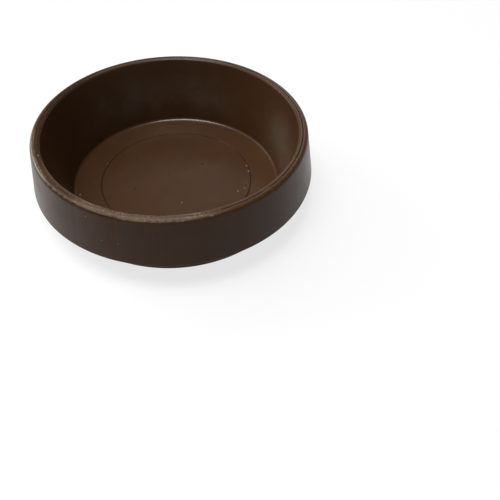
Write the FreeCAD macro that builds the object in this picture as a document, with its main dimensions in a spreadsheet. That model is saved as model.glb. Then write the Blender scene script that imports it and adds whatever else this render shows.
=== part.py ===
"""Castor cup: a one-piece moulded dish that spreads the load of a furniture castor.

The section is turned about +Z. A tapered bowl holds the castor on a flat floor and stands on its
own straight foot. Round it hangs a flared skirt, joined to the bowl at the rim and hollow
underneath, as an even moulded wall needs. The foot is narrower than the mouth, so cups nest.
Millimetres, +Z up, origin in the middle of the foot's underside.
"""
import FreeCAD, Part
import os
import Sketcher

# Driving sizes in millimetres, drafts in degrees from the vertical
SIZES = [
    ("floor_diameter", 59.3, "flat floor that the castor stands on"),
    ("inside_depth", 18.9, "floor to rim, inside the bowl"),
    ("bowl_draft", 14.4, "slope of the bowl's side"),
    ("bowl_wall", 2.6, "thickness of the bowl's side"),
    ("floor_thickness", 1.9, "thickness of the floor"),
    ("foot_draft", 2.0, "slope of the foot's side"),
    ("rim_width", 2.41, "mouth to the outer corner of the rim"),
    ("skirt_height", 12.95, "rim to the skirt's lower edge"),
    ("skirt_draft", 9.8, "slope of the skirt"),
    ("skirt_wall", 1.9, "thickness of the skirt"),
    ("core_tip_width", 1.0, "width of the hollow under the rim at its top"),
    ("floor_corner_radius", 1.0, "inside corner between floor and side"),
    ("rim_shoulder_radius", 1.05, "outer edge of the rim"),
    ("lip_radius", 0.7, "inner edge of the rim"),
    ("foot_chamfer", 0.6, "lower edge of the foot, a lead for nesting"),
    ("ring_diameter", 43.8, "witness ring of the mould insert in the floor"),
    ("ring_line_width", 0.4, "width of the witness ring"),
    ("ring_line_depth", 0.15, "depth of the witness ring"),
]

# Each of the rim's two rounds takes up less than half of the rim, however narrow the rim is
RIM_SHARE = 0.45

# Places on the section that follow from the driving sizes
FLOOR_RADIUS = "sizes.floor_diameter / 2"
HEIGHT = "(sizes.floor_thickness + sizes.inside_depth)"
BOWL_SPREAD = "sizes.inside_depth * tan(sizes.bowl_draft)"
SKIRT_SPREAD = "sizes.skirt_height * tan(sizes.skirt_draft)"
FOOT_SPREAD = f"({HEIGHT} - sizes.skirt_height) * tan(sizes.foot_draft)"

START = 1
END = 2


def add_sizes(doc):
    """The sheet that every dimension is bound to."""
    sheet = doc.addObject("Spreadsheet::Sheet", "sizes")
    for row, (alias, value, note) in enumerate(SIZES, start=1):
        sheet.set(f"A{row}", note)
        sheet.set(f"B{row}", str(value))
        sheet.setAlias(f"B{row}", alias)
    doc.recompute()
    return sheet


def add_sketch(body, name):
    """An empty sketch on the body's XZ plane, where x is the radius and y the height."""
    sketch = body.newObject("Sketcher::SketchObject", name)
    planes = [plane for plane in body.Origin.OriginFeatures if plane.Role == "XZ_Plane"]
    sketch.AttachmentSupport = [(planes[0], "")]
    sketch.MapMode = "FlatFace"
    return sketch


def draw_loop(sketch, corners):
    """A closed loop of straight lines through the corners; line i starts at corner i."""
    points = [FreeCAD.Vector(x, y, 0) for x, y in corners]
    count = len(points)
    for i in range(count):
        sketch.addGeometry(Part.LineSegment(points[i], points[(i + 1) % count]), False)
    for i in range(count):
        sketch.addConstraint(Sketcher.Constraint("Coincident", i, END, (i + 1) % count, START))


def bind(sketch, name, formula, *constraint):
    """A named dimension of the sketch that follows a formula of the sheet."""
    index = sketch.addConstraint(Sketcher.Constraint(*constraint))
    sketch.renameConstraint(index, name)
    sketch.setExpression(f"Constraints.{name}", formula)


def draw_section(body):
    """Half of the cup's section: foot, hollow, skirt, rim and bowl, with sharp corners."""
    sketch = add_sketch(body, "section")
    # A rough drawing with the right corners in order: the dimensions below bring it to size
    rough = [
        (0.0, 0.0),
        (33.6, 0.0),
        (33.9, 7.9),
        (35.3, 13.3),
        (36.3, 13.3),
        (37.2, 7.9),
        (39.2, 7.9),
        (36.9, 20.8),
        (34.5, 20.8),
        (29.7, 1.9),
        (0.0, 1.9),
    ]
    draw_loop(sketch, rough)
    underside, foot, core_inner, core_tip, core_outer, skirt_edge, skirt, rim, side, floor, axis = range(11)
    origin = -1
    sketch.addConstraint(Sketcher.Constraint("Coincident", underside, START, origin, START))
    for level_line in (underside, core_tip, skirt_edge, rim, floor):
        sketch.addConstraint(Sketcher.Constraint("Horizontal", level_line))
    sketch.addConstraint(Sketcher.Constraint("Vertical", axis))
    sketch.addConstraint(Sketcher.Constraint("Horizontal", foot, END, skirt_edge, START))
    sketch.addConstraint(Sketcher.Constraint("Parallel", core_inner, side))
    sketch.addConstraint(Sketcher.Constraint("Parallel", core_outer, skirt))

    bind(sketch, "floor_radius", FLOOR_RADIUS, "DistanceX", origin, START, floor, START, 29.7)
    bind(sketch, "floor_thickness", "sizes.floor_thickness", "DistanceY", origin, START, floor, START, 1.9)
    bind(sketch, "inside_depth", "sizes.inside_depth", "DistanceY", side, END, side, START, 18.9)
    bind(sketch, "bowl_spread", BOWL_SPREAD, "DistanceX", side, END, side, START, 4.9)
    bind(sketch, "rim_width", "sizes.rim_width", "DistanceX", rim, END, rim, START, 2.4)
    bind(sketch, "skirt_height", "sizes.skirt_height", "DistanceY", skirt, START, skirt, END, 12.9)
    bind(sketch, "skirt_spread", SKIRT_SPREAD, "DistanceX", skirt, END, skirt, START, 2.3)
    bind(sketch, "skirt_wall", "sizes.skirt_wall", "Distance", skirt_edge, START, skirt, 2.0)
    bind(sketch, "bowl_wall", "sizes.bowl_wall", "Distance", core_inner, START, side, 2.6)
    bind(sketch, "core_tip_width", "sizes.core_tip_width", "DistanceX", core_tip, START, core_tip, END, 1.0)
    bind(sketch, "foot_spread", FOOT_SPREAD, "DistanceX", foot, START, foot, END, 0.3)
    return sketch


def draw_ring_cut(body):
    """The section of the witness ring, a fine V-shaped line cut down from the floor."""
    sketch = add_sketch(body, "ring_section")
    draw_loop(sketch, [(21.7, 1.9), (22.1, 1.9), (21.9, 1.7)])
    top, outer, inner = range(3)
    origin = -1
    sketch.addConstraint(Sketcher.Constraint("Horizontal", top))
    sketch.addConstraint(Sketcher.Constraint("Equal", outer, inner))
    bind(sketch, "radius", "sizes.ring_diameter / 2", "DistanceX", origin, START, outer, END, 21.9)
    bind(sketch, "level", "sizes.floor_thickness", "DistanceY", origin, START, top, START, 1.9)
    bind(sketch, "width", "sizes.ring_line_width", "DistanceX", top, START, top, END, 0.4)
    bind(sketch, "depth", "sizes.ring_line_depth", "DistanceY", outer, END, outer, START, 0.2)
    return sketch


def turn(body, kind, name, sketch):
    """Turns a sketch once round the height axis, adding or removing material."""
    feature = body.newObject(kind, name)
    feature.Profile = sketch
    feature.ReferenceAxis = (sketch, ["V_Axis"])
    feature.Angle = 360.0
    body.Document.recompute()
    return feature


def edge_at(shape, corner):
    """The name of the circular edge through a corner (radius, height) of the section."""
    tolerance = 0.001
    for number, edge in enumerate(shape.Edges, start=1):
        if not isinstance(edge.Curve, Part.Circle):
            continue
        radius_off = abs(edge.Curve.Radius - corner.x)
        height_off = abs(edge.Curve.Center.z - corner.y)
        if max(radius_off, height_off) < tolerance:
            return f"Edge{number}"
    raise RuntimeError(f"no edge at radius {corner.x:.3f}, height {corner.y:.3f}")


def round_edge(body, name, base, corner, formula):
    """A fillet on the circular edge through a corner of the section."""
    fillet = body.newObject("PartDesign::Fillet", name)
    fillet.Base = (base, [edge_at(base.Shape, corner)])
    fillet.setExpression("Radius", formula)
    body.Document.recompute()
    return fillet


def bevel_edge(body, name, base, corner, formula):
    """An even chamfer on the circular edge through a corner of the section."""
    chamfer = body.newObject("PartDesign::Chamfer", name)
    chamfer.Base = (base, [edge_at(base.Shape, corner)])
    chamfer.setExpression("Size", formula)
    body.Document.recompute()
    return chamfer


def build_cup(doc):
    """The moulded cup: turned section, fine ring in the floor, then its edges."""
    body = doc.addObject("PartDesign::Body", "castor_cup")
    body.Label = "castor_cup"
    section = draw_section(body)
    cup = turn(body, "PartDesign::Revolution", "turned_wall", section)
    wall_volume = cup.Shape.Volume

    cup = turn(body, "PartDesign::Groove", "floor_ring", draw_ring_cut(body))
    if not cup.Shape.Volume < wall_volume:
        raise RuntimeError("the ring in the floor cut nothing")

    foot, rim, side, floor = [section.getPoint(line, START) for line in (1, 7, 8, 9)]
    shoulder = f"min(sizes.rim_shoulder_radius; {RIM_SHARE} * sizes.rim_width)"
    lip = f"min(sizes.lip_radius; {RIM_SHARE} * sizes.rim_width)"
    cup = round_edge(body, "floor_corner", cup, floor, "sizes.floor_corner_radius")
    cup = round_edge(body, "rim_shoulder", cup, rim, shoulder)
    cup = round_edge(body, "lip", cup, side, lip)
    bevel_edge(body, "foot_edge", cup, foot, "sizes.foot_chamfer")
    return body


def check(doc, bodies):
    """Stops if any object failed or any sub-part is not one sound solid."""
    for item in doc.Objects:
        if "Invalid" in item.State or "Error" in item.State:
            raise RuntimeError(f"{item.Name} failed: {item.State}")
    for body in bodies:
        if body.Shape.isNull() or not body.Shape.isValid() or len(body.Shape.Solids) != 1:
            raise RuntimeError(f"{body.Label} is not one sound solid")


def main():
    doc = FreeCAD.newDocument("castor_cup_model")
    add_sizes(doc)
    bodies = [build_cup(doc)]
    doc.recompute()
    check(doc, bodies)
    os.makedirs("parts", exist_ok=True)
    for body in bodies:
        body.Shape.exportStep(f"parts/{body.Label}.step")
        box = body.Shape.optimalBoundingBox()
        print(f"{body.Label}: {box.XLength:.2f} x {box.YLength:.2f} x {box.ZLength:.2f} mm, "
              f"{body.Shape.Volume / 1000:.2f} cm3")


main()
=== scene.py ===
"""Castor cup: a one-piece moulded cup in worn satin brown plastic, on a plain pale stage.

Laid out as an add-on and run as a script. It loads the packed frame, turns the cup's wall from its
section with softened edges and a nicked rim, gives it its plastic finish, and sets up the floor, the
lights and the camera. Metres, +Z up, origin in the middle of the foot's underside.
"""
import math
import random

import bmesh
import bpy
from mathutils import Euler, Matrix, Vector, noise
from mathutils.kdtree import KDTree


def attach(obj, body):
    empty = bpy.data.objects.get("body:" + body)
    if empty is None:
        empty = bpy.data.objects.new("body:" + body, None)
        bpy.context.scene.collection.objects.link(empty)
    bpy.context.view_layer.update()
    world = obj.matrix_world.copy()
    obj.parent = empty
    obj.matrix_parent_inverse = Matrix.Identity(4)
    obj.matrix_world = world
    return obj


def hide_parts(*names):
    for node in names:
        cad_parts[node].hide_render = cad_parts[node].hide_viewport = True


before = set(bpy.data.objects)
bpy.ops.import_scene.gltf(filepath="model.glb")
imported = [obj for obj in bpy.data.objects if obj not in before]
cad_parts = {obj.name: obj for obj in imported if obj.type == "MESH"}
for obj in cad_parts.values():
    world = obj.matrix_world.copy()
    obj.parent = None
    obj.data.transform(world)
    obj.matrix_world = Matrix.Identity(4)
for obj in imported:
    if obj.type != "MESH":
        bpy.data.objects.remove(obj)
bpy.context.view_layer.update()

bl_info = {
    "name": "Castor cup",
    "version": (1, 0, 0),
    "blender": (4, 5, 0),
    "location": "View3D > Sidebar > Castor cup",
    "description": "A moulded castor cup with its worn plastic finish and a plain stage",
    "category": "Add Mesh",
}

MM = 0.001
NODE = "castor_cup"
BODY = "root"

# Fineness of the turned wall, and the rounds at the edges of its witness lines
SEGMENTS = 600
ARC_STEP = math.radians(13)
EDGE_GAP = 0.2 * MM
MERGE_GAP = 0.001 * MM
LINE_ROUND = 0.05 * MM

# Where dents sit on the rim: out from the mouth or in from the outer corner, and down, in millimetres
DENTS_FROM_MOUTH = [(0.12, 0.06), (0.9, 0.0)]
DENTS_FROM_CORNER = [(0.45, 0.15), (0.1, 0.6)]

# Dents: how far they stray, their least and largest radius, in millimetres, and shares of the full depth
DENT_STRAY = 0.15
DENT_RADII = (0.35, 0.8)
DENT_SHARES = (0.25, 1.0)

# Wear of the rim: how far down it reaches, and the share of the witness line that is rubbed away
WEAR_REACH = 1.5 * MM
LINE_RUBBED = 0.5

# Roughened rim: scale of its grain per metre, fading of finer octaves, step between them and their number
GRAIN_SCALE = 1400
GRAIN_FADING = 0.6
GRAIN_STEP = 2.0
GRAIN_OCTAVES = 4

# Places of dirt and of dust on the floor, from the axis: x, y and width in millimetres
DARK_SPECKS = [
    (-12.3, -3.0, 0.55),
    (-2.2, 1.7, 0.30),
    (8.0, 5.5, 0.60),
    (10.6, 19.3, 0.55),
    (19.6, -5.9, 0.40),
]
LIGHT_SPECKS = [
    (0.6, -10.7, 0.36),
    (17.1, -8.0, 0.40),
    (19.2, -7.0, 0.30),
    (21.3, 3.0, 0.42),
    (21.5, 0.4, 0.44),
    (-27.8, -3.5, 0.40),
    (-26.7, 9.6, 0.22),
    (-20.3, 9.6, 0.24),
]

# Places of dust on the rim: bearing in degrees, distance from the mouth and width in millimetres
RIM_SPECKS = [
    (-165.5, 0.55, 0.34),
]

# Places of dust on the skirt: bearing in degrees, drop below the rim and width in millimetres
SKIRT_SPECKS = [
    (-125.9, 2.2, 0.34),
    (-120.1, 7.7, 0.38),
    (-113.5, 7.3, 0.32),
]

# How much of the dust's colour shows on the skirt
SKIRT_DUST = 0.5

# Sides of the cup where its finish differs: two level directions, and three bearings in degrees. The scraped
# side also gets a painted highlight, the dark side and the near side painted shade
RIGHT_WAY = (1.0, 0.0, 0.0)
BACK_WAY = (-0.13, 0.99, 0.0)
SCRAPED_AND_LIT_SIDE = 193.0
DARK_SIDE = 163.0
NEAR_SIDE = 222.0

# Faces of the rim, by the two distances from the mouth between which each begins or ends, in millimetres
RIM_BEGINS = (-0.1, 0.3)
LIP_ENDS = (0.45, 0.6)
INNER_HALF_ENDS = (0.8, 1.3)
INNER_LAND_ENDS = (1.0, 1.4)
OUTER_HALF_BEGINS = (0.9, 1.5)
SHOULDER_BEGINS = (1.1, 1.3)
OUTER_LAND_BEGINS = (1.15, 1.3)
OUTER_EDGE_BEGINS = (1.8, 2.1)

# The same faces, by the two depths below the rim's top between which each begins, in millimetres
RIM_RISES = (0.5, 0.15)
SHOULDER_RISES = (0.8, 0.5)
OUTER_HALF_RISES = (1.4, 0.9)

# How far round an effect reaches: facings where it begins and where it is full, and its amounts there
RUBBED_ROUND = (0.81, 0.98, 0.10, 1.0)
SCRAPED_HIGHLIGHT_ROUND = (0.94, 0.985, 0.0, 0.8)
BRIGHT_ROUND = (0.92, 0.99, 0.0, 0.6)
DARK_ROUND = (0.70, 0.92, 0.0, 1.0)
# The next two place the grey film on the bowl's side, which is also painted sheen
RIGHT_FILM_AND_SHEEN_ROUND = (0.85, 1.0, 0.0, 0.08)
BACK_FILM_AND_SHEEN_ROUND = (0.4, 1.0, 0.01, 0.08)
FLOOR_FILM_ROUND = (0.75, 1.0, 0.0, 0.04)
# The next two place painted shade on the rim: on its outer half at the back, and under its shoulder in front
BACK_SHADE_ROUND = (0.3, 0.6, 0.0, 0.55)
FRONT_SHADE_ROUND = (0.86, 0.96, 0.0, 0.8)
CORNER_POLISH_ROUND = (0.55, 0.95, 0.0, 1.0)
RIM_POLISH_ROUND = (0.7, 0.95, 0.0, 1.0)

# Grains of the finish: scale per metre, and the two limits between which the grain is stretched
CLOUDS = (90.0, 0.35, 0.65)
SKIN = (2600.0, 0.2, 0.8)
SMEARS = (70.0, 0.3, 0.7)
FINE_SCUFFS = (2400.0, 0.40, 0.70)
STREAKS = (2600.0, 0.42, 0.60)
CHIPS = (1500.0, 0.60, 0.67)
PATCHES = (160.0, 0.25, 0.55)
NOISE_DETAIL = 4.0
NOISE_ROUGHNESS = 0.6

# Grey film on the bowl's side, which is also painted sheen: the depth that it is told by, its middle above
# the floor and half its height
FILM_AND_SHEEN_DEPTH = 1.2 * MM
FILM_AND_SHEEN_MIDDLE = 8.5 * MM
FILM_AND_SHEEN_HALF_HEIGHT = 9.5 * MM

# Film on the floor: the depth that the floor is told by, and the two parts as shares of the ring's diameter
FLOOR_DEPTH = 0.5 * MM
MIDDLE_FILM_ENDS = (0.2, 0.5)
OUTER_FILM_BEGINS = (0.4, 0.55)
MIDDLE_FILM = 0.004

# All film: what the smears make of it, from the least to the most
SMEARED = (0.45, 1.45)

# Scuffs: an even part, a fine grain and streaks along the rim
SCUFF_EVEN = 0.14
SCUFF_FINE = 0.26
SCUFF_STREAKS = 0.62

# Streaks are grain drawn out along the rim: the distance in the grain that a facing of 1 counts as
STREAK_RUN = 4.0 * MM

# Dirt in the witness lines: half widths as shares of the line's own width
RING_GRIME_REACH = 0.75
LINE_GRIME_REACH = 0.7

# Dirt left in the rim's line: wear where it begins to go and where no more goes, and what is left there
LINE_GRIME_LEFT = (0.15, 0.8, 1.0, 0.4)

# Painted shade on the rim's dark side, laid in the dirt's dark colour on its lip and on its land
LIP_SHADE = 0.75
LAND_SHADE = 0.3

# Painted shade under the rim's shoulder, in the dirt's dark colour: its drop below the top as a share of the
# shoulder's round, and its half width
SHOULDER_SHADE_DROP = 0.4
SHOULDER_SHADE_REACH = 0.35 * MM

# What each effect adds to the roughness, and what the smooth land on the rim's dark side takes off
CLOUD_ROUGHNESS = 0.06
SCUFF_ROUGHNESS = 0.2
GRIME_ROUGHNESS = 0.2
LINE_ROUGHNESS = 0.65
LIP_ROUGHNESS = 0.3
LAND_SMOOTHNESS = 0.22

# Relief of the plastic's skin, with the scuffs as a multiple of it
RELIEF_STRENGTH = 0.12
RELIEF_DEPTH = 0.05 * MM
SCUFF_RELIEF = 2.0

# Polish: its roughness, its amount on the rim, and its place and half width in shares of the floor's corner
POLISH_ROUGHNESS = 0.2
RIM_POLISH = 0.4
CORNER_POLISH_INSET = 0.3
CORNER_POLISH_REACH = 1.5

# Soft lights of the world: bearing, height, half widths where full and where ended, in degrees, and level
DIM = 0.03
SKY_LIGHTS = [
    (148.0, 46.0, 6.0, 28.0, 2.6),
    (146.0, 16.0, 8.0, 22.0, 4.6),
    (77.0, 29.0, 8.0, 19.0, 2.0),
]

# The stage: the floor lies a hair below the foot, and the lamp points at the middle of the cup
WHITE = (1.0, 1.0, 1.0, 1.0)
FLOOR_SEGMENTS = 128
FLOOR_DROP = 0.02 * MM
LAMP_TARGET = Vector((0.0, 0.0, 0.01))
SENSOR_WIDTH = 36.0
NEAREST_SEEN = 0.005


def length(name, description, millimetres):
    """A size that a user may change, given here in millimetres."""
    return bpy.props.FloatProperty(
        name=name, description=description, default=millimetres * MM, min=0.0, precision=5, unit="LENGTH",
    )


def angle(name, description, degrees):
    """An angle that a user may change, given here in degrees."""
    return bpy.props.FloatProperty(
        name=name, description=description, default=math.radians(degrees), unit="ROTATION",
    )


def colour(name, description, rgb):
    """A linear colour that a user may change."""
    return bpy.props.FloatVectorProperty(
        name=name, description=description, default=rgb, size=3, min=0.0, max=1.0, subtype="COLOR",
    )


def share(name, description, value):
    """A value between nothing and all."""
    return bpy.props.FloatProperty(
        name=name, description=description, default=value, min=0.0, max=1.0, subtype="FACTOR",
    )


class CupSizes(bpy.types.PropertyGroup):
    """Sizes of the moulded wall."""
    floor_diameter: length("Floor diameter", "Flat floor that the castor stands on", 59.3)
    inside_depth: length("Inside depth", "Floor to rim, inside the bowl", 18.9)
    bowl_draft: angle("Bowl draft", "Slope of the bowl's side", 14.4)
    bowl_wall: length("Bowl wall", "Thickness of the bowl's side", 2.6)
    floor_thickness: length("Floor thickness", "Thickness of the floor", 1.9)
    foot_draft: angle("Foot draft", "Slope of the foot's side", 2.0)
    rim_width: length("Rim width", "Mouth to the outer corner of the rim", 2.41)
    skirt_height: length("Skirt height", "Rim to the skirt's lower edge", 12.95)
    skirt_draft: angle("Skirt draft", "Slope of the skirt", 9.8)
    skirt_wall: length("Skirt wall", "Thickness of the skirt", 1.9)
    core_tip_width: length("Hollow tip", "Width of the hollow under the rim at its top", 1.0)
    floor_corner: length("Floor corner", "Round between floor and side", 1.0)
    rim_shoulder: length("Rim shoulder", "Round at the outer edge of the rim", 1.05)
    lip: length("Lip", "Round at the inner edge of the rim", 0.7)
    foot_chamfer: length("Foot chamfer", "Lower edge of the foot", 0.6)
    edge_round: length("Edge round", "Softening of the skirt's and the foot's edges", 0.25)
    ring_diameter: length("Ring diameter", "Witness ring in the floor", 43.8)
    ring_width: length("Ring width", "Width of the witness ring", 0.4)
    rim_line_inset: length("Rim line inset", "Witness line on the rim, from its outer corner", 1.36)
    rim_line_width: length("Rim line width", "Width of the rim's witness line", 0.3)
    line_depth: length("Line depth", "Depth of both witness lines", 0.15)


class CupWear(bpy.types.PropertyGroup):
    """How worn the rim is."""
    nicks: bpy.props.IntProperty(name="Nicks", description="Small dents in the rim", default=130, min=0)
    nick_depth: length("Nick depth", "Depth of the deepest dents", 0.17)
    roughened: length("Roughened", "Height of the roughness along the worn part of the rim", 0.06)
    worn_side: angle("Worn side", "Bearing of the most worn part of the rim", -106.0)
    worn_spread: angle("Worn spread", "Spread of the worn part to each side", 34.0)
    seed: bpy.props.IntProperty(name="Seed", description="Another seed scatters the dents anew", default=11)


class CupFinish(bpy.types.PropertyGroup):
    """Colours and gloss of the plastic."""
    brown: colour("Brown", "The plastic's own colour", (0.069, 0.0302, 0.0118))
    deep_brown: colour("Deep brown", "The darker clouds in the plastic", (0.061, 0.0262, 0.0100))
    # The scuffed colour also paints a highlight on the scraped side of the rim
    scuffed: colour("Scuffed", "Plastic that is roughened white at the edges", (0.19, 0.135, 0.088))
    # The dark colour of the dirt also paints shade on the rim
    grime_and_shade: colour("Grime", "Dirt in the lines, on the rim and in dark specks", (0.014, 0.0068, 0.0032))
    dust: colour("Dust", "Chips on the worn rim and light specks of dust", (0.30, 0.235, 0.165))
    # The grey film's colour also paints sheen on the bowl's side
    haze_and_sheen: colour("Haze", "Thin grey film on the bowl's side and floor", (0.34, 0.33, 0.27))
    roughness: share("Roughness", "Roughness of the clean plastic", 0.31)
    gloss: share("Gloss", "Specular level of the plastic", 0.19)


class CupStage(bpy.types.PropertyGroup):
    """Floor, backdrop, light and camera."""
    floor: colour("Floor", "Pale floor under the cup", (0.25, 0.25, 0.25))
    floor_lift: share("Floor lift", "Whiteness that the floor has in view and in reflections alone", 0.76)
    floor_reach: length("Floor reach", "How far the floor reaches from the cup", 2000.0)
    backdrop_height: length("Backdrop height", "Height of the backdrop that stands round the floor", 460.0)
    key_power: bpy.props.FloatProperty(
        name="Key power", description="Power of the large lamp above", default=3.5, unit="POWER",
    )
    key_size: length("Key size", "Width of the large lamp", 420.0)
    key_distance: length("Key distance", "From the cup to the large lamp", 700.0)
    key_height: angle("Key height", "Elevation of the large lamp", 80.0)
    key_bearing: angle("Key bearing", "Bearing of the large lamp", 190.0)
    camera_place: bpy.props.FloatVectorProperty(
        name="Camera place", description="Where the camera stands", size=3,
        default=(0.0, -0.12366, 0.10782), subtype="TRANSLATION", unit="LENGTH", precision=5,
    )
    camera_heading: angle("Camera heading", "Turn of the camera from straight across", -10.38)
    camera_tilt: angle("Camera tilt", "Tilt of the camera below the level", 48.381)
    camera_roll: angle("Camera roll", "Roll of the camera", 1.85)
    focal_length: bpy.props.FloatProperty(
        name="Focal length", description="Focal length on a sensor 36 mm wide", default=38.88, unit="CAMERA",
    )


def rim_top(sizes):
    """Height of the rim."""
    return sizes.floor_thickness + sizes.inside_depth


def mouth_radius(sizes):
    """Radius of the bowl's mouth, before the lip is rounded."""
    return sizes.floor_diameter / 2 + sizes.inside_depth * math.tan(sizes.bowl_draft)


def rim_radius(sizes):
    """Radius of the rim's outer corner, before it is rounded."""
    return mouth_radius(sizes) + sizes.rim_width


def rim_line_radius(sizes):
    """Radius of the witness line on the rim."""
    return rim_radius(sizes) - sizes.rim_line_inset


def one_way(bearing):
    """The level direction of a bearing."""
    return Vector((math.cos(bearing), math.sin(bearing), 0.0))


def wall_section(sizes):
    """Corners of half the wall, from the axis under the foot out, up and back to the axis on the floor.

    Each is its radius, its height and its round.
    """
    floor_radius = sizes.floor_diameter / 2
    low = sizes.floor_thickness
    top = rim_top(sizes)
    bowl_slope = math.tan(sizes.bowl_draft)
    skirt_slope = math.tan(sizes.skirt_draft)
    foot_slope = math.tan(sizes.foot_draft)
    rim = rim_radius(sizes)
    skirt_low = top - sizes.skirt_height
    skirt_outer = rim + sizes.skirt_height * skirt_slope
    skirt_inner = skirt_outer - sizes.skirt_wall / math.cos(sizes.skirt_draft)
    core_inner = floor_radius + (skirt_low - low) * bowl_slope + sizes.bowl_wall / math.cos(sizes.bowl_draft)
    core_rise = (skirt_inner - core_inner - sizes.core_tip_width) / (bowl_slope + skirt_slope)
    tip_inner = core_inner + core_rise * bowl_slope
    tip_height = skirt_low + core_rise
    foot = core_inner - skirt_low * foot_slope
    chamfer = sizes.foot_chamfer
    edge = sizes.edge_round
    ring = sizes.ring_diameter / 2
    ring_half = sizes.ring_width / 2
    rim_line = rim_line_radius(sizes)
    rim_half = sizes.rim_line_width / 2
    return [
        (0.0, 0.0, 0.0),
        (foot - chamfer, 0.0, edge),
        (foot + chamfer * foot_slope, chamfer, edge),
        (core_inner, skirt_low, edge),
        (tip_inner, tip_height, edge),
        (tip_inner + sizes.core_tip_width, tip_height, edge),
        (skirt_inner, skirt_low, edge),
        (skirt_outer, skirt_low, edge),
        (rim, top, sizes.rim_shoulder),
        (rim_line + rim_half, top, LINE_ROUND),
        (rim_line, top - sizes.line_depth, LINE_ROUND),
        (rim_line - rim_half, top, LINE_ROUND),
        (mouth_radius(sizes), top, sizes.lip),
        (floor_radius, low, sizes.floor_corner),
        (ring + ring_half, low, LINE_ROUND),
        (ring, low - sizes.line_depth, LINE_ROUND),
        (ring - ring_half, low, LINE_ROUND),
        (0.0, low, 0.0),
    ]


def corner_points(before, corner, after, radius):
    """The corner itself, or the points of the round that takes its place."""
    if radius == 0.0:
        return [corner]
    towards = (before - corner).normalized()
    onwards = (after - corner).normalized()
    half = towards.angle(onwards) / 2
    centre = corner + (towards + onwards).normalized() * (radius / math.sin(half))
    start = corner + towards * (radius / math.tan(half)) - centre
    turn = math.pi - 2 * half
    if (corner - before).cross(after - corner) < 0:
        turn = -turn
    steps = max(2, math.ceil(abs(turn) / ARC_STEP))
    return [centre + Matrix.Rotation(turn * i / steps, 2) @ start for i in range(steps + 1)]


def run_points(start, end):
    """Points close to both ends of a straight run, which keep the shading of the run flat."""
    run = (end - start).length
    if run < 3 * EDGE_GAP:
        return []
    return [start.lerp(end, EDGE_GAP / run), end.lerp(start, EDGE_GAP / run)]


def section_line(sizes):
    """The section as one fine line of points from axis to axis."""
    rows = wall_section(sizes)
    corners = [Vector((radius, height)) for radius, height, _ in rows]
    last = len(rows) - 1
    rounds = []
    for i, (_, _, radius) in enumerate(rows):
        rounds.append(corner_points(corners[max(i - 1, 0)], corners[i], corners[min(i + 1, last)], radius))
    line = []
    for i, points in enumerate(rounds):
        line.extend(points)
        if i < last:
            line.extend(run_points(points[-1], rounds[i + 1][0]))
    return line


def turn_wall(context, sizes):
    """The section turned once round the axis, as one closed skin."""
    line = section_line(sizes)
    mesh = bpy.data.meshes.new("section")
    mesh.from_pydata(
        [(point.x, 0.0, point.y) for point in line], [(i, i + 1) for i in range(len(line) - 1)], [],
    )
    section = bpy.data.objects.new("section", mesh)
    context.scene.collection.objects.link(section)
    screw = section.modifiers.new("turn", "SCREW")
    screw.steps = SEGMENTS
    screw.render_steps = SEGMENTS
    screw.use_merge_vertices = True
    screw.merge_threshold = MERGE_GAP
    turned = section.evaluated_get(context.evaluated_depsgraph_get())
    wall = bmesh.new()
    wall.from_mesh(turned.to_mesh())
    bpy.data.objects.remove(section)
    bpy.data.meshes.remove(mesh)
    bmesh.ops.remove_doubles(wall, verts=wall.verts, dist=MERGE_GAP)
    bmesh.ops.recalc_face_normals(wall, faces=wall.faces)
    return wall


def into_rim(place, sizes):
    """The direction from a place on the rim into the middle of its wall."""
    heart = place.xy.normalized() * (mouth_radius(sizes) + sizes.rim_width / 2)
    return (Vector((heart.x, heart.y, rim_top(sizes) - 2 * WEAR_REACH)) - place).normalized()


def dent_moves(verts, sizes, wear):
    """How far scattered dents push in each of the rim's points."""
    draw = random.Random(wear.seed)
    top = rim_top(sizes)
    edges = [(mouth_radius(sizes) + out * MM, top - drop * MM) for out, drop in DENTS_FROM_MOUTH]
    edges += [(rim_radius(sizes) - inset * MM, top - drop * MM) for inset, drop in DENTS_FROM_CORNER]
    tree = KDTree(len(verts))
    for i, vert in enumerate(verts):
        tree.insert(vert.co, i)
    tree.balance()
    moves = [Vector() for _ in verts]
    for _ in range(wear.nicks):
        bearing = draw.gauss(wear.worn_side, wear.worn_spread)
        radius, height = draw.choice(edges)
        radius += draw.uniform(-DENT_STRAY, DENT_STRAY) * MM
        place = Vector((radius * math.cos(bearing), radius * math.sin(bearing), height))
        reach = draw.uniform(*DENT_RADII) * MM
        depth = wear.nick_depth * draw.uniform(*DENT_SHARES)
        for co, index, distance in tree.find_range(place, reach):
            moves[index] += into_rim(co, sizes) * depth * (1 - (distance / reach) ** 2) ** 2
    return moves


def worn_weight(place, wear):
    """How worn the rim is at a place: 1 in the middle of the worn side and less to both sides."""
    off = math.atan2(place.y, place.x) - wear.worn_side
    off = math.atan2(math.sin(off), math.cos(off)) / wear.worn_spread
    return math.exp(-off * off / 2)


def wear_rim(wall, sizes, wear):
    """Dents and roughens the rim and rubs down its witness line, mostly on its worn side."""
    top = rim_top(sizes)
    mouth = mouth_radius(sizes)
    rim_line = rim_line_radius(sizes)
    verts = [v for v in wall.verts if v.co.z > top - WEAR_REACH and v.co.xy.length > mouth - MM]
    for vert, move in zip(verts, dent_moves(verts, sizes, wear)):
        weight = worn_weight(vert.co, wear)
        if abs(vert.co.xy.length - rim_line) < sizes.rim_line_width:
            vert.co.z += (top - vert.co.z) * weight * LINE_RUBBED
        grain = noise.fractal(vert.co * GRAIN_SCALE, GRAIN_FADING, GRAIN_STEP, GRAIN_OCTAVES)
        move += into_rim(vert.co, sizes) * max(0.0, grain) * wear.roughened * weight
        if move.length > wear.nick_depth:
            move.length = wear.nick_depth
        vert.co += move


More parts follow.
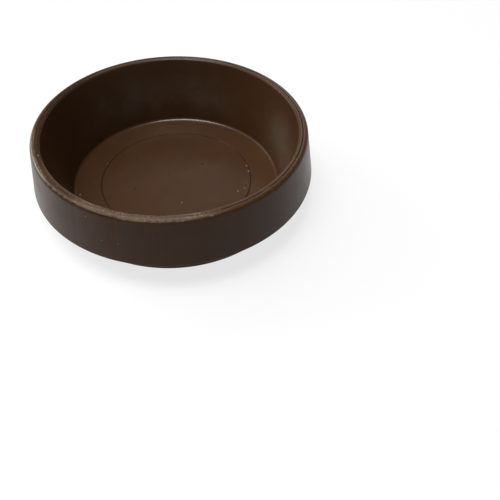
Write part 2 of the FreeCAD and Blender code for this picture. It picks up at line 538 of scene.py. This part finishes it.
def feed(tree, target, value):
    """Links another node's output to an input, or sets the input's own value."""
    if isinstance(value, bpy.types.NodeSocket):
        tree.links.new(value, target)
    else:
        target.default_value = value


def place_node(tree, kind, inputs=None, **settings):
    """A node with its settings, its values and its links from other nodes' outputs."""
    made = tree.nodes.new(kind)
    for name, value in settings.items():
        setattr(made, name, value)
    for socket, value in (inputs or {}).items():
        feed(tree, made.inputs[socket], value)
    return made


def math_node(tree, operation, *values):
    """The output of one step of arithmetic."""
    return place_node(tree, "ShaderNodeMath", dict(enumerate(values)), operation=operation).outputs[0]


def ramp_node(tree, value, low, high, at_low=0.0, at_high=1.0):
    """A smooth step of a value between two limits."""
    given = {"Value": value, "From Min": low, "From Max": high, "To Min": at_low, "To Max": at_high}
    ramp = place_node(tree, "ShaderNodeMapRange", given, interpolation_type="SMOOTHSTEP", clamp=True)
    return ramp.outputs["Result"]


def mix_node(tree, mask, under, over):
    """One colour laid over another by a mask."""
    mixed = place_node(tree, "ShaderNodeMix", {"Factor": mask}, data_type="RGBA")
    for name, value in (("A", under), ("B", over)):
        target = [socket for socket in mixed.inputs if socket.name == name and socket.type == "RGBA"][0]
        feed(tree, target, value)
    return [socket for socket in mixed.outputs if socket.type == "RGBA"][0]


def new_group(name, inputs, outputs):
    """An empty shader node group with its named sockets: (tree, group inputs, group outputs)."""
    tree = bpy.data.node_groups.new(name, "ShaderNodeTree")
    for socket, kind in inputs:
        tree.interface.new_socket(socket, in_out="INPUT", socket_type=kind)
    for socket, kind in outputs:
        tree.interface.new_socket(socket, in_out="OUTPUT", socket_type=kind)
    return tree, tree.nodes.new("NodeGroupInput").outputs, tree.nodes.new("NodeGroupOutput").inputs


def use_group(tree, group, inputs):
    """A group placed in a tree with its own values."""
    made = tree.nodes.new("ShaderNodeGroup")
    made.node_tree = group
    for socket, value in inputs.items():
        feed(tree, made.inputs[socket], value)
    return made.outputs


def turned_place_group():
    """Radius and height of a point, as on a lathe."""
    tree, given, result = new_group(
        "turned place",
        [("Place", "NodeSocketVector")],
        [("Radius", "NodeSocketFloat"), ("Height", "NodeSocketFloat")],
    )
    parts = place_node(tree, "ShaderNodeSeparateXYZ", {0: given["Place"]}).outputs
    flat = place_node(tree, "ShaderNodeCombineXYZ", {"X": parts["X"], "Y": parts["Y"]}).outputs[0]
    radius = place_node(tree, "ShaderNodeVectorMath", {0: flat}, operation="LENGTH").outputs["Value"]
    tree.links.new(radius, result["Radius"])
    tree.links.new(parts["Z"], result["Height"])
    return tree


def side_group():
    """How far a point lies to one side of the axis: 1 straight on that side, -1 opposite."""
    tree, given, result = new_group(
        "to one side",
        [("Place", "NodeSocketVector"), ("Radius", "NodeSocketFloat"), ("Side", "NodeSocketVector")],
        [("Facing", "NodeSocketFloat")],
    )
    along = place_node(
        tree, "ShaderNodeVectorMath", {0: given["Place"], 1: given["Side"]}, operation="DOT_PRODUCT",
    ).outputs["Value"]
    facing = math_node(tree, "DIVIDE", along, math_node(tree, "MAXIMUM", given["Radius"], MM))
    tree.links.new(facing, result["Facing"])
    return tree


def band_group():
    """A soft band about a middle value."""
    tree, given, result = new_group(
        "soft band",
        [("Value", "NodeSocketFloat"), ("Middle", "NodeSocketFloat"), ("Half Width", "NodeSocketFloat")],
        [("Mask", "NodeSocketFloat")],
    )
    off = math_node(tree, "ABSOLUTE", math_node(tree, "SUBTRACT", given["Value"], given["Middle"]))
    tree.links.new(ramp_node(tree, off, 0.0, given["Half Width"], 1.0, 0.0), result["Mask"])
    return tree


def speck_group():
    """One round speck at a place, which fades out at its width and so looks about as wide."""
    tree, given, result = new_group(
        "speck",
        [("Place", "NodeSocketVector"), ("Middle", "NodeSocketVector"), ("Width", "NodeSocketFloat")],
        [("Mask", "NodeSocketFloat")],
    )
    off = place_node(
        tree, "ShaderNodeVectorMath", {0: given["Place"], 1: given["Middle"]}, operation="DISTANCE",
    ).outputs["Value"]
    tree.links.new(ramp_node(tree, off, 0.0, given["Width"], 1.0, 0.0), result["Mask"])
    return tree


def grain_group():
    """Uneven grain at a scale, stretched between two limits."""
    tree, given, result = new_group(
        "grain",
        [("Place", "NodeSocketVector"), ("Scale", "NodeSocketFloat"), ("Low", "NodeSocketFloat"),
         ("High", "NodeSocketFloat")],
        [("Mask", "NodeSocketFloat")],
    )
    grain = place_node(tree, "ShaderNodeTexNoise", {
        "Vector": given["Place"],
        "Scale": given["Scale"],
        "Detail": NOISE_DETAIL,
        "Roughness": NOISE_ROUGHNESS,
    }).outputs["Fac"]
    tree.links.new(ramp_node(tree, grain, given["Low"], given["High"]), result["Mask"])
    return tree


def opaque(rgb):
    """A colour property as a node socket's value."""
    return (rgb[0], rgb[1], rgb[2], 1.0)


def floor_spots(specks, sizes):
    """Specks on the floor, each as its middle and its width."""
    return [(Vector((x * MM, y * MM, sizes.floor_thickness)), width * MM) for x, y, width in specks]


def rim_spots(specks, sizes):
    """Specks on the rim, each as its middle and its width."""
    lift = Vector((0.0, 0.0, rim_top(sizes)))
    spots = []
    for bearing, out, width in specks:
        middle = (mouth_radius(sizes) + out * MM) * one_way(math.radians(bearing)) + lift
        spots.append((middle, width * MM))
    return spots


def skirt_spots(specks, sizes):
    """Specks on the skirt, each as its middle and its width."""
    spots = []
    for bearing, drop, width in specks:
        radius = rim_radius(sizes) + drop * MM * math.tan(sizes.skirt_draft)
        middle = radius * one_way(math.radians(bearing)) + Vector((0.0, 0.0, rim_top(sizes) - drop * MM))
        spots.append((middle, width * MM))
    return spots


class TurnedSurface:
    """A material's node tree on the turned wall, with the masks that effects are put together from.

    A facing is 1 straight on one side of the cup, 0 square to that side and -1 opposite.
    """

    def __init__(self, tree, sizes):
        self.tree = tree
        self.sizes = sizes
        self.band_group = band_group()
        self.speck_group = speck_group()
        self.grain_group = grain_group()
        self.side_group = side_group()
        self.place = place_node(tree, "ShaderNodeTexCoord").outputs["Object"]
        turned = use_group(tree, turned_place_group(), {"Place": self.place})
        self.radius = turned["Radius"]
        self.height = turned["Height"]

    def times(self, first, second):
        """The product of two values."""
        return math_node(self.tree, "MULTIPLY", first, second)

    def plus(self, first, second):
        """The sum of two values."""
        return math_node(self.tree, "ADD", first, second)

    def minus(self, first, second):
        """One value less another."""
        return math_node(self.tree, "SUBTRACT", first, second)

    def most(self, first, second):
        """The larger of two values."""
        return math_node(self.tree, "MAXIMUM", first, second)

    def scaled(self, value, factor, start):
        """A value times a factor, counted from a start."""
        return math_node(self.tree, "MULTIPLY_ADD", value, factor, start)

    def lay(self, mask, under, rgb):
        """A colour laid over another by a mask."""
        return mix_node(self.tree, mask, under, opaque(rgb))

    def step(self, value, low, high, at_low=0.0, at_high=1.0):
        """A smooth step of a value between two limits."""
        return ramp_node(self.tree, value, low, high, at_low, at_high)

    def band(self, value, middle, half_width):
        """A soft band about a middle value."""
        given = {"Value": value, "Middle": middle, "Half Width": half_width}
        return use_group(self.tree, self.band_group, given)["Mask"]

    def grain(self, kind, place=None):
        """One of the grains listed at the top."""
        scale, low, high = kind
        given = {"Place": self.place if place is None else place, "Scale": scale, "Low": low, "High": high}
        return use_group(self.tree, self.grain_group, given)["Mask"]

    def specks(self, spots):
        """All specks of a list as one mask."""
        mask = None
        for middle, width in spots:
            given = {"Place": self.place, "Middle": middle, "Width": width}
            spot = use_group(self.tree, self.speck_group, given)["Mask"]
            mask = spot if mask is None else self.most(mask, spot)
        return mask

    def facing(self, way):
        """How far a point lies to one side."""
        given = {"Place": self.place, "Radius": self.radius, "Side": way}
        return use_group(self.tree, self.side_group, given)["Facing"]

    def begins(self, distances):
        """A face of the rim that begins between two distances from the mouth."""
        near, far = [mouth_radius(self.sizes) + distance * MM for distance in distances]
        return self.step(self.radius, near, far)

    def ends(self, distances, amount=1.0):
        """A face of the rim that ends between two distances from the mouth."""
        near, far = [mouth_radius(self.sizes) + distance * MM for distance in distances]
        return self.step(self.radius, near, far, amount, 0.0)

    def rises(self, depths):
        """A face of the rim that begins between two depths below its top."""
        low, high = [rim_top(self.sizes) - depth * MM for depth in depths]
        return self.step(self.height, low, high)


class PlasticFinish(TurnedSurface):
    """The effects of the satin brown plastic: clouds, film with painted sheen, scuffs with a painted
    highlight, dirt, painted shade, dust and polish.
    """

    def __init__(self, tree, sizes, wear, finish):
        super().__init__(tree, sizes)
        self.finish = finish
        self.clouds = self.grain(CLOUDS)
        self.to_back = self.facing(BACK_WAY)
        self.to_worn = self.facing(one_way(wear.worn_side))
        self.to_scraped_and_lit = self.facing(one_way(math.radians(SCRAPED_AND_LIT_SIDE)))
        self.on_floor = self.band(self.height, sizes.floor_thickness, FLOOR_DEPTH)
        self.on_rim = self.times(self.rises(RIM_RISES), self.begins(RIM_BEGINS))
        self.rubbed = self.times(self.on_rim, self.step(self.to_worn, *RUBBED_ROUND))
        # The scraped land is also a painted highlight
        self.worn = self.most(self.rubbed, self.scraped_highlight_mask())
        self.scuffs = self.times(self.worn, self.scuff_pattern())
        self.dark_lip, self.dark_land = self.dark_masks()
        self.line_grime = self.line_grime_mask()
        self.patches = self.grain(PATCHES)
        self.floor_grime = self.floor_grime_mask()
        self.rim_dirt_and_shade = self.rim_dirt_and_shade_mask()

    def side_film_and_sheen(self):
        """Grey film on the bowl's side, at the back and at the right, which also stands in for sheen as a
        painted reflection.
        """
        low = self.sizes.floor_thickness
        slope = math.tan(self.sizes.bowl_draft)
        off_side = self.minus(self.radius, self.times(self.height, slope))
        on_side = self.times(
            self.band(off_side, self.sizes.floor_diameter / 2 - low * slope, FILM_AND_SHEEN_DEPTH),
            self.band(self.height, low + FILM_AND_SHEEN_MIDDLE, FILM_AND_SHEEN_HALF_HEIGHT),
        )
        at_right = self.step(self.facing(RIGHT_WAY), *RIGHT_FILM_AND_SHEEN_ROUND)
        at_back = self.step(self.to_back, *BACK_FILM_AND_SHEEN_ROUND)
        return self.times(on_side, self.plus(at_right, at_back))

    def floor_film(self):
        """Grey film on the floor, in its middle and beyond the ring at the back."""
        ring = self.sizes.ring_diameter
        middle = self.step(self.radius, *[ring * part for part in MIDDLE_FILM_ENDS], MIDDLE_FILM, 0.0)
        outside = self.step(self.radius, *[ring * part for part in OUTER_FILM_BEGINS])
        far = self.times(outside, self.step(self.to_back, *FLOOR_FILM_ROUND))
        return self.times(self.on_floor, self.plus(middle, far))

    def scraped_highlight_mask(self):
        """The rim's land outside its line, scraped on one side, where the scuffs also paint a highlight."""
        outer_land = self.times(self.on_rim, self.begins(OUTER_LAND_BEGINS))
        return self.times(outer_land, self.step(self.to_scraped_and_lit, *SCRAPED_HIGHLIGHT_ROUND))

    def scuff_pattern(self):
        """Fine scuffs and streaks along the rim."""
        along = self.times(self.to_worn, STREAK_RUN)
        unrolled = place_node(
            self.tree, "ShaderNodeCombineXYZ", {"X": self.radius, "Y": self.height, "Z": along},
        ).outputs[0]
        fine = self.scaled(self.grain(FINE_SCUFFS), SCUFF_FINE, SCUFF_EVEN)
        return self.plus(fine, self.times(self.grain(STREAKS, unrolled), SCUFF_STREAKS))

    def dark_masks(self):
        """The lip and the smooth land beside it, on the rim's dark side, where painted shade darkens them."""
        inner_land = self.times(self.on_rim, self.ends(INNER_LAND_ENDS))
        to_dark = self.facing(one_way(math.radians(DARK_SIDE)))
        inner_dark = self.times(inner_land, self.step(to_dark, *DARK_ROUND))
        lip = self.times(inner_dark, self.ends(LIP_ENDS))
        return lip, self.minus(inner_dark, lip)

    def line_grime_mask(self):
        """Dirt in the rim's witness line, less of it where the line is rubbed down."""
        reach = self.sizes.rim_line_width * LINE_GRIME_REACH
        line = self.band(self.radius, rim_line_radius(self.sizes), reach)
        left = self.step(self.rubbed, *LINE_GRIME_LEFT)
        return self.times(self.times(line, self.on_rim), left)

    def floor_grime_mask(self):
        """Patchy dirt in the floor's witness ring, and dark specks."""
        reach = self.sizes.ring_width * RING_GRIME_REACH
        ring = self.times(self.band(self.radius, self.sizes.ring_diameter / 2, reach), self.on_floor)
        return self.most(self.times(ring, self.patches), self.specks(floor_spots(DARK_SPECKS, self.sizes)))

    def rim_dirt_and_shade_mask(self):
        """Dirt in the rim's line, and painted shade on its outer half at the back, on its dark side and in
        front under its shoulder.
        """
        outer_half = self.times(self.begins(OUTER_HALF_BEGINS), self.rises(OUTER_HALF_RISES))
        at_back = self.step(self.to_back, *BACK_SHADE_ROUND)
        below = rim_top(self.sizes) - SHOULDER_SHADE_DROP * self.sizes.rim_shoulder
        under_shoulder = self.times(
            self.band(self.height, below, SHOULDER_SHADE_REACH), self.begins(OUTER_EDGE_BEGINS),
        )
        to_near = self.facing(one_way(math.radians(NEAR_SIDE)))
        in_front = self.step(to_near, *FRONT_SHADE_ROUND)
        grime_and_shade = self.times(self.line_grime, self.patches)
        # From here on painted shade: the outer half at the back, the dark lip and land, and under the
        # shoulder in front
        grime_and_shade = self.most(grime_and_shade, self.times(outer_half, at_back))
        grime_and_shade = self.most(grime_and_shade, self.times(self.dark_lip, LIP_SHADE))
        grime_and_shade = self.most(grime_and_shade, self.times(self.dark_land, LAND_SHADE))
        return self.most(grime_and_shade, self.times(under_shoulder, in_front))

    def base_colour(self):
        """Brown with clouds, then film and painted sheen, scuffs and a painted highlight, chips, dirt and
        painted shade, and dust over it.
        """
        finish = self.finish
        body = self.lay(self.clouds, opaque(finish.brown), finish.deep_brown)
        # The film on the bowl's side is also painted sheen
        film = self.plus(self.side_film_and_sheen(), self.floor_film())
        film = self.times(film, self.step(self.grain(SMEARS), 0.0, 1.0, *SMEARED))
        body = self.lay(film, body, finish.haze_and_sheen)
        # On the scraped side the scuffs also paint a highlight
        body = self.lay(self.scuffs, body, finish.scuffed)
        body = self.lay(self.times(self.worn, self.grain(CHIPS)), body, finish.dust)
        # Dirt in the lines and specks, and painted shade on the rim
        body = self.lay(self.most(self.rim_dirt_and_shade, self.floor_grime), body, finish.grime_and_shade)
        light_spots = floor_spots(LIGHT_SPECKS, self.sizes) + rim_spots(RIM_SPECKS, self.sizes)
        body = self.lay(self.specks(light_spots), body, finish.dust)
        faint = self.specks(skirt_spots(SKIRT_SPECKS, self.sizes))
        return self.lay(self.times(faint, SKIRT_DUST), body, finish.dust)

    def roughness(self):
        """Rougher in clouds, scuffs and dirt, and smoother on the land of the rim's dark side."""
        in_lines = self.most(self.floor_grime, self.line_grime)
        smooth = self.times(self.dark_land, self.minus(1.0, self.line_grime))
        rough = self.scaled(self.clouds, CLOUD_ROUGHNESS, self.finish.roughness)
        rough = self.plus(rough, self.times(self.scuffs, SCUFF_ROUGHNESS))
        rough = self.plus(rough, self.times(self.rim_dirt_and_shade, GRIME_ROUGHNESS))
        rough = self.plus(rough, self.times(in_lines, LINE_ROUGHNESS))
        rough = self.minus(rough, self.times(smooth, LAND_SMOOTHNESS))
        return self.plus(rough, self.times(self.dark_lip, LIP_ROUGHNESS))

    def polish(self):
        """Polish on the floor's corner and the rim's inner half at the back, and on the scraped shoulder."""
        size = self.sizes.floor_corner
        inset = CORNER_POLISH_INSET * size
        corner = self.times(
            self.band(self.height, self.sizes.floor_thickness + inset, size),
            self.band(self.radius, self.sizes.floor_diameter / 2 - inset, CORNER_POLISH_REACH * size),
        )
        far_corner = self.times(corner, self.step(self.to_back, *CORNER_POLISH_ROUND))
        inner_half = self.times(self.on_rim, self.ends(INNER_HALF_ENDS, RIM_POLISH))
        far_rim = self.times(inner_half, self.step(self.to_back, *RIM_POLISH_ROUND))
        shoulder = self.times(self.begins(SHOULDER_BEGINS), self.rises(SHOULDER_RISES))
        bright = self.times(shoulder, self.step(self.to_scraped_and_lit, *BRIGHT_ROUND))
        return self.plus(self.plus(far_corner, far_rim), bright)

    def relief(self):
        """A fine moulded skin, deeper where it is scuffed."""
        height = self.plus(self.grain(SKIN), self.times(self.scuffs, SCUFF_RELIEF))
        given = {"Height": height, "Strength": RELIEF_STRENGTH, "Distance": RELIEF_DEPTH}
        return place_node(self.tree, "ShaderNodeBump", given).outputs["Normal"]


def plastic_material(sizes, wear, finish):
    """Satin brown plastic: faint clouds, a hazy side with painted sheen, a polished corner, a scuffed rim
    with a painted highlight, dirt, painted shade and specks.
    """
    material = bpy.data.materials.new("satin_brown_plastic")
    material.use_nodes = True
    tree = material.node_tree
    tree.nodes.clear()
    plastic = PlasticFinish(tree, sizes, wear, finish)
    shader = place_node(tree, "ShaderNodeBsdfPrincipled", {
        "Base Color": plastic.base_colour(),
        "Roughness": plastic.roughness(),
        "Normal": plastic.relief(),
        "Specular IOR Level": finish.gloss,
        "Coat Weight": plastic.polish(),
        "Coat Roughness": POLISH_ROUGHNESS,
    })
    place_node(tree, "ShaderNodeOutputMaterial", {"Surface": shader.outputs["BSDF"]})
    return material


def floor_material(rgb, lift):
    """Even matt floor and backdrop, whiter where it is seen or mirrored than in the light it throws back."""
    material = bpy.data.materials.new("pale_floor")
    material.use_nodes = True
    tree = material.node_tree
    path = place_node(tree, "ShaderNodeLightPath").outputs
    seen = math_node(tree, "MAXIMUM", path["Is Camera Ray"], path["Is Glossy Ray"])
    seen = math_node(tree, "MAXIMUM", seen, path["Is Transmission Ray"])
    shader = tree.nodes["Principled BSDF"]
    shader.inputs["Base Color"].default_value = opaque(rgb)
    shader.inputs["Roughness"].default_value = 1.0
    shader.inputs["Specular IOR Level"].default_value = 0.0
    shader.inputs["Emission Color"].default_value = WHITE
    tree.links.new(math_node(tree, "MULTIPLY", seen, lift), shader.inputs["Emission Strength"])
    return material


def studio_world():
    """Dim light from all round, with soft lights on the left and behind."""
    world = bpy.data.worlds.new("studio")
    world.use_nodes = True
    tree = world.node_tree
    tree.nodes.clear()
    way = place_node(tree, "ShaderNodeTexCoord").outputs["Generated"]
    level = DIM
    for bearing, height, full, end, strength in SKY_LIGHTS:
        towards = Vector((1.0, 0.0, 0.0))
        towards.rotate(Euler((0.0, -math.radians(height), math.radians(bearing))))
        facing = place_node(
            tree, "ShaderNodeVectorMath", {0: way, 1: towards}, operation="DOT_PRODUCT",
        ).outputs["Value"]
        edge = math.cos(math.radians(end))
        heart = math.cos(math.radians(full))
        level = math_node(tree, "ADD", ramp_node(tree, facing, edge, heart, 0.0, strength), level)
    light = place_node(tree, "ShaderNodeBackground", {"Color": WHITE, "Strength": level})
    place_node(tree, "ShaderNodeOutputWorld", {"Surface": light.outputs[0]})
    return world


def lay_floor(scene, stage):
    """A round floor with a backdrop that stands up round its edge."""
    plane = bmesh.new()
    bmesh.ops.create_circle(plane, cap_ends=True, segments=FLOOR_SEGMENTS, radius=stage.floor_reach)
    raised = bmesh.ops.extrude_edge_only(plane, edges=plane.edges[:])["geom"]
    for vert in raised:
        if isinstance(vert, bmesh.types.BMVert):
            vert.co.z += stage.backdrop_height
    mesh = bpy.data.meshes.new("pale_floor")
    plane.to_mesh(mesh)
    plane.free()
    mesh.materials.append(floor_material(stage.floor, stage.floor_lift))
    floor = bpy.data.objects.new("pale_floor", mesh)
    floor.location.z = -FLOOR_DROP
    scene.collection.objects.link(floor)


def hang_lamp(scene, stage):
    """The large soft lamp above the cup."""
    lamp = bpy.data.lights.new("key_lamp", "AREA")
    lamp.shape = "DISK"
    lamp.size = stage.key_size
    lamp.energy = stage.key_power
    key = bpy.data.objects.new("key_lamp", lamp)
    level = math.cos(stage.key_height) * one_way(stage.key_bearing)
    way = level + Vector((0.0, 0.0, math.sin(stage.key_height)))
    key.location = LAMP_TARGET + way * stage.key_distance
    key.rotation_euler = (LAMP_TARGET - key.location).to_track_quat("-Z", "Y").to_euler()
    scene.collection.objects.link(key)


def stand_camera(scene, stage):
    """The camera at the photograph's viewing angle."""
    lens = bpy.data.cameras.new("camera")
    lens.sensor_width = SENSOR_WIDTH
    lens.lens = stage.focal_length
    lens.clip_start = NEAREST_SEEN
    camera = bpy.data.objects.new("camera", lens)
    heading = Euler((math.pi / 2 - stage.camera_tilt, 0.0, stage.camera_heading)).to_matrix()
    turn = heading @ Matrix.Rotation(stage.camera_roll, 3, "Z")
    camera.matrix_world = Matrix.Translation(stage.camera_place) @ turn.to_4x4()
    scene.collection.objects.link(camera)
    scene.camera = camera


class CASTORCUP_OT_mould(bpy.types.Operator):
    """Turns the cup's wall, wears its rim and gives it its plastic finish"""
    bl_idname = "castor_cup.mould"
    bl_label = "Mould the cup"

    def execute(self, context):
        sizes = context.scene.castor_cup_sizes
        wear = context.scene.castor_cup_wear
        wall = turn_wall(context, sizes)
        wear_rim(wall, sizes, wear)
        mesh = bpy.data.meshes.new("moulded_cup")
        wall.to_mesh(mesh)
        wall.free()
        mesh.shade_smooth()
        mesh.materials.append(plastic_material(sizes, wear, context.scene.castor_cup_finish))
        cup = bpy.data.objects.new("moulded_cup", mesh)
        context.scene.collection.objects.link(cup)
        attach(cup, BODY)
        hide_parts(NODE)
        return {"FINISHED"}


class CASTORCUP_OT_stage(bpy.types.Operator):
    """Lays the pale floor and sets up the lamp, the world and the camera"""
    bl_idname = "castor_cup.stage"
    bl_label = "Set the stage"

    def execute(self, context):
        scene = context.scene
        stage = scene.castor_cup_stage
        scene.view_settings.view_transform = "Standard"
        scene.world = studio_world()
        lay_floor(scene, stage)
        hang_lamp(scene, stage)
        stand_camera(scene, stage)
        return {"FINISHED"}


class CASTORCUP_PT_sidebar(bpy.types.Panel):
    """The cup's sizes, wear, finish and stage, and the buttons that make it"""
    bl_idname = "CASTORCUP_PT_sidebar"
    bl_label = "Castor cup"
    bl_space_type = "VIEW_3D"
    bl_region_type = "UI"
    bl_category = "Castor cup"

    def draw(self, context):
        for operator in (CASTORCUP_OT_mould, CASTORCUP_OT_stage):
            self.layout.operator(operator.bl_idname)
        for name, group in SETTINGS.items():
            box = self.layout.box()
            box.label(text=group.__doc__)
            for prop in group.__annotations__:
                box.prop(getattr(context.scene, name), prop)


SETTINGS = {
    "castor_cup_sizes": CupSizes,
    "castor_cup_wear": CupWear,
    "castor_cup_finish": CupFinish,
    "castor_cup_stage": CupStage,
}
CLASSES = [*SETTINGS.values(), CASTORCUP_OT_mould, CASTORCUP_OT_stage, CASTORCUP_PT_sidebar]


def register():
    for cls in CLASSES:
        bpy.utils.register_class(cls)
    for name, group in SETTINGS.items():
        setattr(bpy.types.Scene, name, bpy.props.PointerProperty(type=group))


def unregister():
    for name in SETTINGS:
        delattr(bpy.types.Scene, name)
    for cls in reversed(CLASSES):
        bpy.utils.unregister_class(cls)


def main():
    register()
    bpy.ops.castor_cup.mould()
    bpy.ops.castor_cup.stage()


if __name__ == "__main__":
    main()
